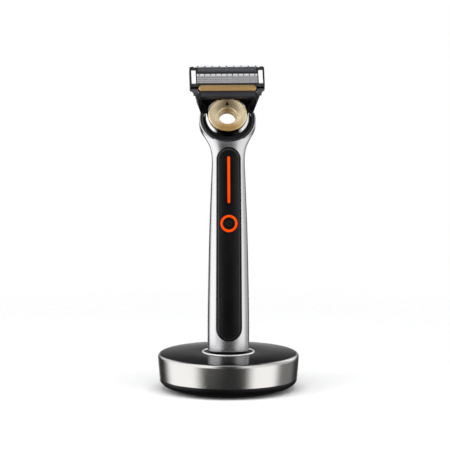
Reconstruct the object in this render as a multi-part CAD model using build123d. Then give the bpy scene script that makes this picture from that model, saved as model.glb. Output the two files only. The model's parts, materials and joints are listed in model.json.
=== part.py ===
from build123d import *
import os
from math import sin, cos, tan, radians, pi

# A heated cartridge razor standing in its round charging dock.
# Millimetres, +Z up, front is -Y, origin at the centre of the dock's resting face.

os.makedirs("parts", exist_ok=True)

# ---- driving dimensions: dock -------------------------------------------------------------
DOCK_R = 40.1            # widest radius of the steel band
BAND_FOOT_R = 39.05      # band radius at its lower edge
BAND_Z0, BAND_Z1 = 6.2, 20.5
BAND_INNER_R = 37.2
COVER_R = 38.3           # gloss top cover, crowned, seated flush inside the rim
COVER_FLAT_R, COVER_EDGE_Z, COVER_TOP_Z = 29.5, 20.5, 21.4
COVER_T = 1.7
SEAT_R = 15.0            # bright ring round the seat
CUP_FLOOR_R, CUP_FLOOR_Z = 10.5, 18.3
PAD_R0, PAD_R1, PAD_T = 20.0, 29.5, 1.0
BASE_FLAT_R, BASE_Z = 30.2, 1.0
FLOOR_T = 1.6
SCREW_RING_R = 27.0
INLET_W, INLET_H, INLET_Z = 8.94, 3.26, 14.9

# ---- driving dimensions: handle -----------------------------------------------------------
HANDLE_Z0 = 21.5         # lower end of the metal shell
HANDLE_LEAN = 0.55       # degrees
BEND_R = 22.0            # bend of the neck into the socket ring
FOOT_ROUND = 3.6
WALL = 1.4
SKIN = 1.5               # thickness of the front inlay
INLAY_LOW_Z, INLAY_LOW_R = 36.2, 7.0
INLAY_TOP_Z, INLAY_TOP_R = 132.3, 6.5
INLAY_GAP = 0.35
BAR_W, BAR_Z0, BAR_Z1 = 1.95, 107.7, 134.9
BUTTON_Z = 96.2
GLOW_R, GLOW_R_IN = 5.07, 3.43
BUTTON_R = 3.3
BUTTON_TILT = 4.0        # degrees that the front leans back at the button
BUTTON_TRAVEL = 0.5

# ---- driving dimensions: head -------------------------------------------------------------
RING_TILT = 40.0         # degrees that the socket ring leans back
RING_C = (0.0, 11.5, 151.6)
RING_R, RING_BORE, RING_HALF = 16.05, 15.25, 2.7
RING_OPEN_V = 4.2        # the ring is open above this height, measured up the ring's plane
BEZEL_R, BEZEL_IN, BEZEL_HALF = 15.2, 13.7, 2.5
FLANGE_R, FLANGE_HALF = 14.4, 0.9
DISC_R = 13.5
EYE_V = 2.0              # the button sits this far above the ring's centre
COVER_RING_R = 12.8
GOLD_R, GOLD_RIM_W = 11.0, 5.0
HOLE_R, LIP_R, LIP_W = 5.1, 6.1, 3.1
SLEEVE_R, EYE_BORE = 6.8, 8.95
ROLL_LIMIT = 8.0         # degrees that the head rolls each way in its ring

# ---- driving dimensions: cartridge --------------------------------------------------------
CART_TILT = 45.0
CART_V, CART_W = 18.5, 13.2          # face centre, up the ring's plane and out from it
CART_HALF, CART_TOP, CART_LOW = 21.25, 10.9, -10.6
CART_DEPTH = 5.2
STEP_V, NARROW_HALF = -3.3, 16.2     # below this height the frame is narrower, between the ears
WINDOW_HALF, WINDOW_V0, WINDOW_V1 = 17.3, -1.2, 5.9
BLADE_COUNT, BLADE_PITCH, BLADE_TOP_V = 5, 1.32, 5.1
CLIP_X, CLIP_W, CLIP_V0, CLIP_V1 = 19.0, 2.37, -1.25, 8.0
BAR_LEN, BAR_H, BAR_V = 32.7, 4.2, -4.4
GUARD_LEN, GUARD_V0, GUARD_V1 = 30.4, -10.5, -7.4
PIVOT_V, PIVOT_W, PIVOT_R = -6.5, -3.2, 0.9
EAR_R = 3.1
PIVOT_SWING = 40.0
SHIELD_TIP, SHIELD_TOP_V, SHIELD_BACK = (15.6, 6.9), 17.9, -2.5

LEAN = radians(HANDLE_LEAN)
TILT = radians(RING_TILT)
HEAD = Plane(origin=RING_C, x_dir=(1, 0, 0), z_dir=(0, -cos(TILT), sin(TILT)))
CART = Plane(
    origin=HEAD.from_local_coords((0, CART_V, CART_W)),
    x_dir=(1, 0, 0),
    z_dir=(0, -cos(radians(CART_TILT)), sin(radians(CART_TILT))),
)


def rod(radius, low, high, x=0.0, y=0.0):
    """A cylinder along Z between two heights."""
    return Pos(x, y, low) * Cylinder(radius, high - low, align=(Align.CENTER, Align.CENTER, Align.MIN))


def tube(outer, inner, low, high, x=0.0, y=0.0):
    return rod(outer, low, high, x, y) - rod(inner, low - 1, high + 1, x, y)


def block(x0, x1, y0, y1, z0, z1):
    """A box between two corners."""
    return Pos(x0, y0, z0) * Box(x1 - x0, y1 - y0, z1 - z0, align=(Align.MIN, Align.MIN, Align.MIN))


def lathe(*points):
    """Turn a closed outline, drawn as radius and height, about Z."""
    return revolve(Plane.XZ * make_face(Polyline(*points, close=True)), Axis.Z)


def save(name, *shapes, plane=None):
    """Place a piece, or a group of like pieces, and write it to its own file."""
    placed = [plane * shape if plane else shape for shape in shapes]
    solids = [solid for shape in placed for solid in shape.solids()]
    whole = solids[0] if len(solids) == 1 else Compound(children=solids)
    whole.label = name
    export_step(whole, f"parts/{name}.step")


# ---- dock ---------------------------------------------------------------------------------

def ring_places(radius, count=4, start=45.0):
    """Evenly spaced points on a circle."""
    return [
        (radius * cos(radians(start + k * 360 / count)), radius * sin(radians(start + k * 360 / count)))
        for k in range(count)
    ]


SCREWS = ring_places(SCREW_RING_R)
POSTS = ring_places(16.0, 3, 30.0)
POST_TOP, BOARD_T, FERRITE_T, COIL_T = 11.6, 1.6, 1.0, 2.7
BOSS_FOOT = 4.2


def dock_band():
    seat_r, ledge_z = COVER_R + 0.1, COVER_EDGE_Z - COVER_T - 0.05
    band = lathe(
        (BAND_INNER_R, BAND_Z0), (BAND_FOOT_R, BAND_Z0), (39.85, 11.2), (DOCK_R, 18.9), (39.6, 19.9),
        (seat_r, BAND_Z1), (seat_r, ledge_z), (BAND_INNER_R, ledge_z),
    )
    slot = Pos(0, DOCK_R, INLET_Z) * Rot(90, 0, 0) * extrude(
        SlotOverall(INLET_W + 0.5, INLET_H + 0.5), 12, both=True)
    return band - slot


def dock_base():
    top = BAND_Z0 - 0.05
    floor = BASE_Z + FLOOR_T
    bowl = lathe(
        (0, BASE_Z), (BASE_FLAT_R, BASE_Z), (35.8, BASE_Z + 1.3), (BAND_FOOT_R, top),
        (BAND_INNER_R, top), (34.2, floor), (0, floor),
    )
    for x, y in SCREWS:
        bowl += rod(4.0, BASE_Z, BOSS_FOOT, x, y)
    for x, y in POSTS:
        bowl += rod(2.2, floor - 0.5, POST_TOP, x, y)
    for x, y in SCREWS:
        bowl -= rod(2.8, 0, BASE_Z + 1.7, x, y)
        bowl -= rod(1.4, 0, BOSS_FOOT + 1, x, y)
    return bowl


def dock_top_cover():
    inner, under = SEAT_R + 0.05, COVER_EDGE_Z - COVER_T
    cover = lathe((inner, COVER_TOP_Z), (COVER_FLAT_R, COVER_TOP_Z), (COVER_R, COVER_EDGE_Z),
                  (COVER_R, under), (inner, under))
    for x, y in SCREWS:
        cover += rod(2.8, BOSS_FOOT + 0.05, 19.4, x, y)
    for x, y in SCREWS:
        cover -= rod(1.3, BOSS_FOOT - 1, 15.0, x, y)
    return cover


def seat_ring():
    inner = SEAT_R - 0.85
    return lathe((inner, 20.4), (SEAT_R, 20.4), (SEAT_R, 21.75), (inner, 21.55))


def seat_cup():
    inner = SEAT_R - 0.9
    return lathe(
        (0, CUP_FLOOR_Z), (CUP_FLOOR_R, CUP_FLOOR_Z), (inner, 21.15), (inner, 20.38), (SEAT_R, 20.38),
        (SEAT_R, 17.0), (0, 17.0))


def dock_board():
    board = rod(24.0, POST_TOP, POST_TOP + BOARD_T) + block(
        -7, 7, 15, BAND_INNER_R - 1.0, POST_TOP, POST_TOP + BOARD_T)
    for x, y in SCREWS:
        board -= rod(3.4, 0, 30, x, y)
    return board


def power_inlet():
    """Oval low-voltage socket: a thin metal shell with a contact tongue."""
    depth = 7.6
    shell = extrude(SlotOverall(INLET_W, INLET_H), depth)
    mouth = Pos(0, 0, 1.4) * extrude(SlotOverall(INLET_W - 0.6, INLET_H - 0.6), depth)
    tongue = block(-3.3, 3.3, -0.35, 0.35, 1.0, depth - 1.2)
    socket = shell - mouth + tongue
    return Pos(0, 31.2, INLET_Z) * Rot(-90, 0, 0) * socket


def dock_screws():
    head_z = PAD_T + 0.05
    return [rod(2.6, head_z, head_z + 1.6, x, y) + rod(1.25, head_z + 1.5, 13.5, x, y) for x, y in SCREWS]


def ballast_plate():
    floor = BASE_Z + FLOOR_T + 0.05
    plate = tube(32.0, 18.6, floor, floor + 5.2)
    for x, y in SCREWS:
        plate -= rod(4.3, 0, 10, x, y)
    return plate


def make_dock():
    deck = POST_TOP + BOARD_T
    save("dock_foot_pad", tube(PAD_R1, PAD_R0, 0, PAD_T))
    save("dock_base", dock_base())
    save("dock_band", dock_band())
    save("dock_top_cover", dock_top_cover())
    save("seat_ring", seat_ring())
    save("seat_cup", seat_cup())
    save("dock_ballast_plate", ballast_plate())
    save("dock_circuit_board", dock_board())
    save("dock_ferrite", rod(13.0, deck, deck + FERRITE_T))
    save("dock_coil", tube(12.4, 6.6, deck + FERRITE_T, deck + FERRITE_T + COIL_T))
    save("dock_magnet", rod(5.8, deck + FERRITE_T, deck + FERRITE_T + COIL_T))
    save("power_inlet", power_inlet())
    save("dock_screws", *dock_screws())


# ---- handle -------------------------------------------------------------------------------

# Half width and half depth of the handle at distances along its curved centre line.
# The last three lie in the socket ring's plane, where the flare runs out into the ring.
SIZES = [
    (0.0, 11.80, 10.2), (18.0, 11.80, 10.2), (38.0, 11.50, 9.85), (56.0, 11.15, 9.35),
    (74.5, 10.65, 8.55), (92.0, 9.98, 7.35), (102.0, 9.55, 6.35), (109.9, 9.32, 5.45),
    (117.5, 10.55, 4.35), (125.0, 14.05, 3.15), (130.3, 15.50, 2.60),
]
SQUARENESS = 2.6         # exponent of the rounded section
SECTION_SIDES = 20       # an even number, with a flat side in the middle of the front


def centre_line(s):
    """Point and lean of the centre line, s along it from the handle's foot: straight, bend, straight."""
    turn = TILT - LEAN
    tangent = BEND_R * tan(turn / 2)
    corner_z = (RING_C[2] * tan(TILT) - RING_C[1] - HANDLE_Z0 * tan(LEAN)) / (tan(TILT) - tan(LEAN))
    corner_y = (corner_z - HANDLE_Z0) * tan(LEAN)
    straight = (corner_z - HANDLE_Z0) / cos(LEAN) - tangent
    arc = BEND_R * turn
    if s <= straight:
        return s * sin(LEAN), HANDLE_Z0 + s * cos(LEAN), LEAN
    if s >= straight + arc:
        past = s - straight - arc + tangent
        return corner_y + past * sin(TILT), corner_z + past * cos(TILT), TILT
    start_y, start_z = straight * sin(LEAN), HANDLE_Z0 + straight * cos(LEAN)
    lean = LEAN + (s - straight) / BEND_R
    return (start_y + BEND_R * (cos(LEAN) - cos(lean)), start_z + BEND_R * (sin(lean) - sin(LEAN)), lean)


def rounded_outline(half_w, half_d, sides):
    """A superellipse in straight sides, whose middle sides touch the half width and half depth."""
    power = 2 / SQUARENESS
    reach = cos(pi / sides) ** -power
    points = []
    for k in range(sides):
        a = 2 * pi * (k + 0.5) / sides
        c, s = cos(a), sin(a)
        x = half_w * reach * abs(c) ** power * (1 if c >= 0 else -1)
        y = half_d * reach * abs(s) ** power * (1 if s >= 0 else -1)
        points.append((x, y))
    return make_face(Polyline(*points, close=True))


def section(s, half_w, half_d, sides):
    y, z, lean = centre_line(s)
    plane = Plane(origin=(0, y, z), x_dir=(1, 0, 0), z_dir=(0, sin(lean), cos(lean)))
    return plane * rounded_outline(half_w, half_d, sides)


def handle_form(inset=0.0, last=None, sides=SECTION_SIDES):
    """The handle's outer form, or the same form drawn in by a wall."""
    return loft([section(s, w - inset, d - inset, sides) for s, w, d in SIZES[:last]])


def front_y(z):
    """Where the handle's front surface lies on the middle line, by straight steps between sections."""
    rows = []
    for s, _, d in SIZES:
        y, h, lean = centre_line(s)
        rows.append((h + d * sin(lean), y - d * cos(lean)))
    for (z0, y0), (z1, y1) in zip(rows, rows[1:]):
        if z0 <= z <= z1:
            return y0 + (y1 - y0) * (z - z0) / (z1 - z0)
    return rows[-1][1]


def slot_prism(grow=0.0):
    """Straight-sided slot with full-round ends, a little narrower at the top, cut from the front."""
    low = Pos(0, INLAY_LOW_Z) * Circle(INLAY_LOW_R + grow)
    top = Pos(0, INLAY_TOP_Z) * Circle(INLAY_TOP_R + grow)
    return extrude(Plane.XZ * make_hull(low.edges() + top.edges()), 30)


BUTTON = Plane(
    origin=(0, front_y(BUTTON_Z), BUTTON_Z), x_dir=(1, 0, 0),
    z_dir=(0, -cos(radians(BUTTON_TILT)), sin(radians(BUTTON_TILT))),
)
BOARD_FACE = -4.4        # front of the main board, behind the handle's front surface
SWITCH_TOP = -2.6


def light_slot(grow=0.0):
    mid = (BAR_Z0 + BAR_Z1) / 2
    slot = Pos(0, mid) * Rot(0, 0, 90) * SlotOverall(BAR_Z1 - BAR_Z0 + 2 * grow, BAR_W + 2 * grow)
    return extrude(Plane.XZ * slot, 30)


def make_handle():
    outer = handle_form()
    outer = chamfer(outer.faces().sort_by(Axis.Z)[0].edges(), FOOT_ROUND, FOOT_ROUND / 2)
    under_skin = handle_form(SKIN)
    cavity = handle_form(WALL, 8) & block(-20, 20, -20, 20, HANDLE_Z0 + 4.6, 133)

    window = BUTTON * block(-30, 30, -60, 60, -2.9, 20)

    # shell with its U-shaped socket ring
    ring = HEAD * (tube(RING_R, RING_BORE - 0.6, -RING_HALF, RING_HALF))
    shell = outer + ring
    shell -= HEAD * rod(RING_BORE, -14, 14)
    shell -= HEAD * block(-30, 30, RING_OPEN_V, 40, -14, 14)
    shell -= cavity
    shell -= slot_prism(INLAY_GAP) - under_skin
    shell -= light_slot(0.05) & window
    shell -= extrude(Pos(0, 0, HANDLE_Z0 - 1) * RectangleRounded(14.0, 11.6, 4.6), 8)
    save("handle_shell", shell)

    # front inlay with its windows
    inlay = (slot_prism() & outer) - under_skin
    inlay -= light_slot(0.02)
    inlay -= BUTTON * rod(GLOW_R + 0.02, -8, 8)
    save("front_inlay", inlay)

    save("light_bar", light_slot() & outer & window)
    save("button_light_ring", BUTTON * (tube(GLOW_R, GLOW_R_IN, -2.6, 3)) & outer)
    cap = chamfer(rod(BUTTON_R, SWITCH_TOP + 0.05 + BUTTON_TRAVEL, 0.05).edges().sort_by(Axis.Z)[-1], 0.25)
    save("power_button", cap, plane=BUTTON)

    # inner carrier: a curved half tray behind the inlay
    tray = (under_skin & block(-20, 20, -20, -1.5, 30, 131)) - handle_form(SKIN + 1.2, 9, 12)
    tray -= light_slot(0.05)
    tray -= BUTTON * rod(GLOW_R + 0.05, -8, 8)
    save("internal_carrier", tray)

    save("main_board", block(-5.2, 5.2, -9, 35, BOARD_FACE - 1.0, BOARD_FACE), plane=BUTTON)
    save("tact_switch", block(-2.25, 2.25, -2.25, 2.25, BOARD_FACE, -2.95) + rod(1.2, -3.0, SWITCH_TOP), plane=BUTTON)
    lamps = [block(-0.8, 0.8, v - 0.8, v + 0.8, BOARD_FACE, BOARD_FACE + 0.8) for v in (14.5, 24.5, 33.0)]
    save("indicator_leds", *lamps, plane=BUTTON)
    cell = rod(6.7, 34.0, 83.0, 0, 1.3) + rod(2.6, 82.5, 84.4, 0, 1.3)
    save("battery_cell", cell)

    # foot: end cap with the receiving coil inside
    foot = CUP_FLOOR_Z + 0.05
    flange = extrude(Pos(0, 0, foot) * RectangleRounded(16.2, 13.8, 5.5), HANDLE_Z0 - 0.12 - foot)
    plug = extrude(Pos(0, 0, HANDLE_Z0 - 0.2) * RectangleRounded(13.8, 11.4, 4.5), 6)
    core = RectangleRounded(12.6, 10.2, 3.9)
    groove = extrude(Pos(0, 0, 24.0) * (Rectangle(18, 16) - core), 1.2)
    end_cap = flange + plug - groove - rod(4.7, foot + 1.2, 30)
    save("end_cap", end_cap)
    seal = RectangleRounded(13.96, 11.56, 4.58) - core
    save("end_cap_seal", extrude(Pos(0, 0, 24.05) * seal, 1.1))
    save("receiver_coil", tube(4.6, 2.4, foot + 1.25, foot + 3.0))
    save("receiver_ferrite", rod(4.6, foot + 3.05, foot + 4.1))
    save("keeper_plate", rod(4.6, foot + 4.15, foot + 6.2))

    # bearing bezels that hold the disc in the ring
    def bezel(side):
        body = tube(BEZEL_R, FLANGE_R + 0.1, 0.02, BEZEL_HALF) + tube(
            BEZEL_R, BEZEL_IN, FLANGE_HALF + 0.1, BEZEL_HALF)
        body -= block(-30, 30, RING_OPEN_V, 40, -5, 5)
        return body if side > 0 else mirror(body, about=Plane.XY)

    save("head_bezel_front", bezel(1), plane=HEAD)
    save("head_bezel_rear", bezel(-1), plane=HEAD)


# ---- head disc and eject button -----------------------------------------------------------

TONGUE_HALF, TONGUE_TOP, TONGUE_T = 7.0, 17.0, 0.85
CHANNEL_HALF = 3.3


def disc_cover():
    """Gloss cover: a thin plate with a raised ring round the eye."""
    crest, foot = 2.5, FLANGE_HALF + 0.05
    ring = lathe((EYE_BORE, foot), (EYE_BORE, crest), (11.0, crest), (12.25, 2.12), (COVER_RING_R, 1.3),
                 (COVER_RING_R, foot))
    plate = rod(DISC_R, FLANGE_HALF + 0.05, 1.5)
    plate -= block(-20, 20, 7.0, 20, -5, 5)
    plate -= Pos(0, EYE_V, 0) * rod(EYE_BORE, -5, 5)
    return plate + Pos(0, EYE_V, 0) * ring


def disc_frame():
    frame = rod(FLANGE_R, -FLANGE_HALF, FLANGE_HALF)
    frame -= block(-20, 20, 3.0, 20, -5, 5)
    frame += rod(DISC_R, -FLANGE_HALF, FLANGE_HALF)
    frame += block(-TONGUE_HALF, TONGUE_HALF, 8, TONGUE_TOP, -TONGUE_T, TONGUE_T)
    frame -= Pos(0, EYE_V, 0) * rod(EYE_BORE, -5, 5)
    frame -= block(-CHANNEL_HALF, CHANNEL_HALF, 5, TONGUE_TOP + 1, -5, 5)
    return frame


def gold_half():
    """Front half of the eject button: a dished disc with a rounded rim and a sleeve round its hole."""
    return lathe(
        (HOLE_R, 0.02), (HOLE_R, LIP_W - 0.6), (LIP_R - 0.1, LIP_W), (GOLD_R - 0.5, GOLD_RIM_W - 0.1),
        (GOLD_R, GOLD_RIM_W - 0.6), (GOLD_R - 0.5, 3.6), (SLEEVE_R, 2.7), (SLEEVE_R, 0.02),
    )


def ejector_slider():
    """Blade in the tongue's channel that pushes the bridge off."""
    blade = block(-CHANNEL_HALF + 0.2, CHANNEL_HALF - 0.2, EYE_V + SLEEVE_R - 0.6, 14.6, -0.7, 0.7)
    return blade - Pos(0, EYE_V, 0) * rod(SLEEVE_R + 0.02, -5, 5)


def make_head():
    save("disc_frame", disc_frame(), plane=HEAD)
    save("disc_front_cover", disc_cover(), plane=HEAD)
    save("disc_rear_cover", mirror(disc_cover(), about=Plane.XY), plane=HEAD)
    pins = [block(x - 0.5, x + 0.5, 14.5, 15.9, TONGUE_T, TONGUE_T + 0.5) for x in (-6.0, -4.4, 4.4, 6.0)]
    save("heater_contacts", *pins, plane=HEAD)
    save("eject_button_front", Pos(0, EYE_V, 0) * gold_half(), plane=HEAD)
    save("eject_button_rear", Pos(0, EYE_V, 0) * mirror(gold_half(), about=Plane.XY), plane=HEAD)
    save("ejector_slider", ejector_slider(), plane=HEAD)


# ---- cartridge bridge ---------------------------------------------------------------------

def pivot_in_head():
    """The pivot's place in the ring's plane: height up it and distance out of it."""
    local = HEAD.to_local_coords(CART.from_local_coords((0, PIVOT_V, PIVOT_W)))
    return local.Y, local.Z


def arm_side_profile(p_v, p_w):
    """Side outline of an arm, height up the ring's plane against distance out of it.

    Its upper edge leans back at the slope that the cartridge's back reaches at full swing.
    """
    swing = radians(CART_TILT - RING_TILT + PIVOT_SWING)
    gap = CART_DEPTH + PIVOT_W + 0.5
    line_v, line_w = p_v - gap * sin(swing), p_w - gap * cos(swing)
    web = make_face(Polyline(
        (p_v - EAR_R, p_w), (SHIELD_TIP[1], 0.7), (SHIELD_TIP[1], SHIELD_BACK), (SHIELD_TOP_V, SHIELD_BACK),
        (SHIELD_TOP_V, line_w - (SHIELD_TOP_V - line_v) / tan(swing)), (line_v, line_w), (p_v, p_w), close=True))
    return web + Pos(p_v, p_w) * Circle(EAR_R)


def shield_outline():
    """The bridge's flared plate seen along the ring's axis: half of it, on the right."""
    return make_face(Polyline(
        (0, SHIELD_TOP_V), (17.3, SHIELD_TOP_V), (17.0, 12.0), (16.5, 8.8), SHIELD_TIP, (12.6, 5.5),
        (0, 5.5), close=True))


def cartridge_bridge():
    p_v, p_w = pivot_in_head()
    side_plane = Plane(origin=(14.0, 0, 0), x_dir=(0, 1, 0), z_dir=(1, 0, 0))
    side = extrude(side_plane * arm_side_profile(p_v, p_w), 8.0)
    flare = make_face(Polyline(
        (14.4, -2.5), (16.5, -2.5), (17.1, 2.0), (18.3, 6.6), (20.4, 9.0), (21.2, 10.6),
        (21.2, 14.5), (16.55, 14.5), (16.55, 8.2), (15.6, 4.0), close=True))
    flare_plane = Plane(origin=(0, 30, 0), x_dir=(1, 0, 0), z_dir=(0, -1, 0))
    half = side & extrude(flare_plane * flare, 60)
    half += extrude(Pos(0, 0, SHIELD_BACK) * shield_outline(), 0.55 - SHIELD_BACK)
    # room for the socket ring's end when the head rolls
    half -= rod(RING_R + 0.25, -8, 8) & Rot(0, 0, ROLL_LIMIT + 0.6) * block(0, 30, -40, RING_OPEN_V + 0.1, -8, 8)
    half -= Pos(0, p_v, p_w) * Rot(0, 90, 0) * Cylinder(PIVOT_R + 0.06, 2 * 19.6)
    bridge = half + mirror(half, about=Plane.YZ)
    bridge -= block(-TONGUE_HALF - 0.1, TONGUE_HALF + 0.1, 10, TONGUE_TOP + 0.05, -1.0, 2.0)
    bridge -= Pos(0, EYE_V, 0) * rod(COVER_RING_R + 0.35, -8, 8)
    return bridge


# ---- cartridge ----------------------------------------------------------------------------

def clip_profile(v0, v1, w0, w1, thickness):
    """C-shaped strip that wraps the frame from the face to the back."""
    outer = Pos((v0 + v1) / 2, (w0 + w1) / 2) * Rectangle(v1 - v0, w1 - w0)
    outer = fillet(outer.vertices(), 0.45)
    return outer - Pos((v0 + v1) / 2, (w0 + w1) / 2) * Rectangle(
        v1 - v0 - 2 * thickness, w1 - w0 - 2 * thickness)


def clip(x):
    plane = Plane(origin=(x - CLIP_W / 2, 0, 0), x_dir=(0, 1, 0), z_dir=(1, 0, 0))
    return extrude(plane * clip_profile(CLIP_V0, CLIP_V1, -CART_DEPTH - 0.1, 0.15, 0.45), CLIP_W)


def cartridge_frame():
    back = -CART_DEPTH
    face = -0.35
    wide = Pos(0, (CART_TOP + STEP_V) / 2) * Rectangle(2 * CART_HALF, CART_TOP - STEP_V)
    wide = fillet(wide.vertices(), 1.1)
    narrow = Pos(0, (STEP_V + CART_LOW) / 2) * Rectangle(2 * NARROW_HALF, STEP_V - CART_LOW + 2)
    narrow = fillet(narrow.vertices(), 1.0)
    frame = extrude(Pos(0, 0, back) * (wide + narrow), face - back)
    # rear edges slope in towards the back
    frame -= Pos(0, CART_TOP, back) * Rot(35, 0, 0) * Box(60, 3.2, 3.2)
    # window for the blades, open right through for rinsing
    frame -= block(-WINDOW_HALF, WINDOW_HALF, WINDOW_V0, WINDOW_V1, back - 1, 1)
    # seats for the comfort strip, cap rail, warming bar and guard
    frame -= block(-16.6, 16.6, 6.7, 10.35, -1.9, 1)
    frame -= block(-18.6, 18.6, 10.35, 12, -1.5, 1)
    frame -= extrude(Pos(0, BAR_V, -0.9) * SlotOverall(BAR_LEN + 0.1, BAR_H + 0.1), 3)
    frame -= block(-14.1, 14.1, BAR_V - 1.5, BAR_V + 1.5, -1.6, 0)
    frame -= block(-GUARD_LEN / 2 - 0.1, GUARD_LEN / 2 + 0.1, CART_LOW - 1, GUARD_V1 + 0.05, -2.4, 1)
    # clear the round ears when the cartridge swings
    for side in (-1, 1):
        ear = Pos(side * 19.6, PIVOT_V, PIVOT_W) * Rot(0, 90, 0) * Cylinder(EAR_R + 0.3, 6.1)
        frame -= ear
        x0 = side * CLIP_X - CLIP_W / 2 - 0.05
        x1 = side * CLIP_X + CLIP_W / 2 + 0.05
        grown = clip_profile(CLIP_V0 - 0.05, CLIP_V1 + 0.05, back - 0.4, 0.5, 0.9)
        plane = Plane(origin=(x0, 0, 0), x_dir=(0, 1, 0), z_dir=(1, 0, 0))
        frame -= extrude(plane * grown, x1 - x0)
    for pin in pivot_pins():
        frame -= pin
    return frame


def pivot_pins():
    pin = Pos(0, PIVOT_V, PIVOT_W) * Rot(0, 90, 0) * Cylinder(PIVOT_R, 4.8)
    return [Pos(side * 16.9, 0, 0) * pin for side in (-1, 1)]


def blade(v):
    """A bent blade: a slanted cutting strip on an upright leg."""
    edge = [(v + 0.42, -0.22), (v + 0.36, -0.05), (v - 0.66, -0.44), (v - 0.66, -3.6), (v - 0.44, -3.6),
            (v - 0.44, -0.62)]
    plane = Plane(origin=(-17.2, 0, 0), x_dir=(0, 1, 0), z_dir=(1, 0, 0))
    return extrude(plane * make_face(Polyline(*edge, close=True)), 34.4)


def cap_rail():
    """Ribbed rail along the top edge."""
    rail = block(-17.9, 17.9, 10.4, CART_TOP + 0.35, -1.45, -0.2)
    pitch = 4.1
    for k in range(-4, 5):
        rail -= block(k * pitch - 0.35, k * pitch + 0.35, 10.75, 12, -2, 1)
    return rail


def crowned_strip(length, v0, v1, base, crown):
    """A bar with a gently crowned face."""
    mid = (v0 + v1) / 2
    profile = Polyline((v0, base + crown), (v0, base), (v1, base), (v1, base + crown)) + ThreePointArc(
        (v1, base + crown), (mid, base + crown + 0.35), (v0, base + crown))
    plane = Plane(origin=(-length / 2, 0, 0), x_dir=(0, 1, 0), z_dir=(1, 0, 0))
    return extrude(plane * make_face(profile), length)


def make_cartridge():
    save("cartridge_bridge", cartridge_bridge(), plane=HEAD)
    save("cartridge_frame", cartridge_frame(), plane=CART)
    for k in range(BLADE_COUNT):
        save(f"razor_blade_{k + 1}", blade(BLADE_TOP_V - k * BLADE_PITCH), plane=CART)
    save("clip_left", clip(-CLIP_X), plane=CART)
    save("clip_right", clip(CLIP_X), plane=CART)
    save("comfort_strip", crowned_strip(33.0, 6.85, 10.2, -1.85, 1.65), plane=CART)
    save("cap_rail", cap_rail(), plane=CART)
    warm = extrude(Pos(0, BAR_V, -0.9) * SlotOverall(BAR_LEN, BAR_H), 0.95)
    warm = chamfer(warm.faces().sort_by(Axis.Z)[-1].edges(), 0.2)
    warm -= block(-50, 50, -50, 50, -2, -0.9)
    save("warming_bar", warm, plane=CART)
    save("heater_strip", block(-14.0, 14.0, BAR_V - 1.4, BAR_V + 1.4, -1.55, -0.95), plane=CART)
    guard = crowned_strip(GUARD_LEN, GUARD_V0, GUARD_V1, -2.35, 2.1)
    save("guard_bar", guard, plane=CART)
    save("pivot_pins", *pivot_pins(), plane=CART)
    pads = [block(x - 0.7, x + 0.7, -9.3, -6.7, -CART_DEPTH - 0.15, -CART_DEPTH) for x in (-6, -4.4, 4.4, 6)]
    save("contact_pads", *pads, plane=CART)


make_dock()
make_handle()
make_head()
make_cartridge()
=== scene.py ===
import json
import bpy
import bmesh
import numpy as np
from math import sin, cos, tan, asin, atan2, pi, radians, sqrt
from mathutils import Matrix, Vector


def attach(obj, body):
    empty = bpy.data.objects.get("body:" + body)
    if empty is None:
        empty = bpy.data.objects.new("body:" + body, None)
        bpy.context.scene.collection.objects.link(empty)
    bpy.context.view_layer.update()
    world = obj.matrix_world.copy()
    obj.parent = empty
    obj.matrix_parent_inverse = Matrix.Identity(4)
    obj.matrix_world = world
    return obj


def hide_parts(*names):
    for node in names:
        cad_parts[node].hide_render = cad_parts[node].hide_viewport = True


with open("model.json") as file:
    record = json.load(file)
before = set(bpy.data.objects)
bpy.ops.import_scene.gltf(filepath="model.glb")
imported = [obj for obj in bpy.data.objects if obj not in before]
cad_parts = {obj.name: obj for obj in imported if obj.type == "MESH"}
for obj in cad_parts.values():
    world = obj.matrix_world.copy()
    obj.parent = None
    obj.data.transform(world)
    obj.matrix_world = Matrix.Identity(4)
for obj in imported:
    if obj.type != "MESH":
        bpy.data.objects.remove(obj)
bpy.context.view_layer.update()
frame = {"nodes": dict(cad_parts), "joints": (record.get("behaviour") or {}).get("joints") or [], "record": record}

MM = 0.001
scene = bpy.context.scene
scene.view_settings.view_transform = "Standard"

# ---- places read from the frame ---------------------------------------------------------

JOINTS = {j["name"]: j for j in frame["joints"]}
RING_C = Vector(JOINTS["disc_roll"]["pos_m"])
RING_N = Vector(JOINTS["disc_roll"]["axis"]).normalized()
PIVOT = Vector(JOINTS["cartridge_pivot"]["pos_m"])
ACROSS = Vector((1, 0, 0))


def moved(x, y, z):
    """A shift in mm."""
    return Matrix.Translation((x * MM, y * MM, z * MM))


def rotated(degrees, axis):
    return Matrix.Rotation(radians(degrees), 4, axis)


def basis(origin, normal):
    """A frame with X across the object and Z along the normal."""
    up = normal.cross(ACROSS).normalized()
    m = Matrix((ACROSS, up, normal)).transposed().to_4x4()
    m.translation = origin
    return m


# The head's ring, the eye of the gold button a little above its middle, and the cartridge's face.
EYE_V = 2.0
CART_LEAN = radians(45)
CART_RISE, CART_OUT = 6.5, 3.2
HEAD = basis(RING_C, RING_N)
EYE = HEAD @ moved(0, EYE_V, 0)
CART_N = Vector((0, -cos(CART_LEAN), sin(CART_LEAN)))
CART_U = CART_N.cross(ACROSS)
CART = basis(PIVOT + CART_U * CART_RISE * MM + CART_N * CART_OUT * MM, CART_N)

# ---- camera -----------------------------------------------------------------------------

AZIMUTH, ELEVATION, DISTANCE = radians(-2.6), radians(9.5), 6.0
FIELD = 0.2549
AIM_SIDE, AIM_HEIGHT = -0.0019, 0.0941
SENSOR = 36


def bearing_to(azimuth, elevation):
    """Direction from the object to whoever looks at it."""
    return Vector((sin(azimuth) * cos(elevation), -cos(azimuth) * cos(elevation),
                   sin(elevation)))


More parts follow.
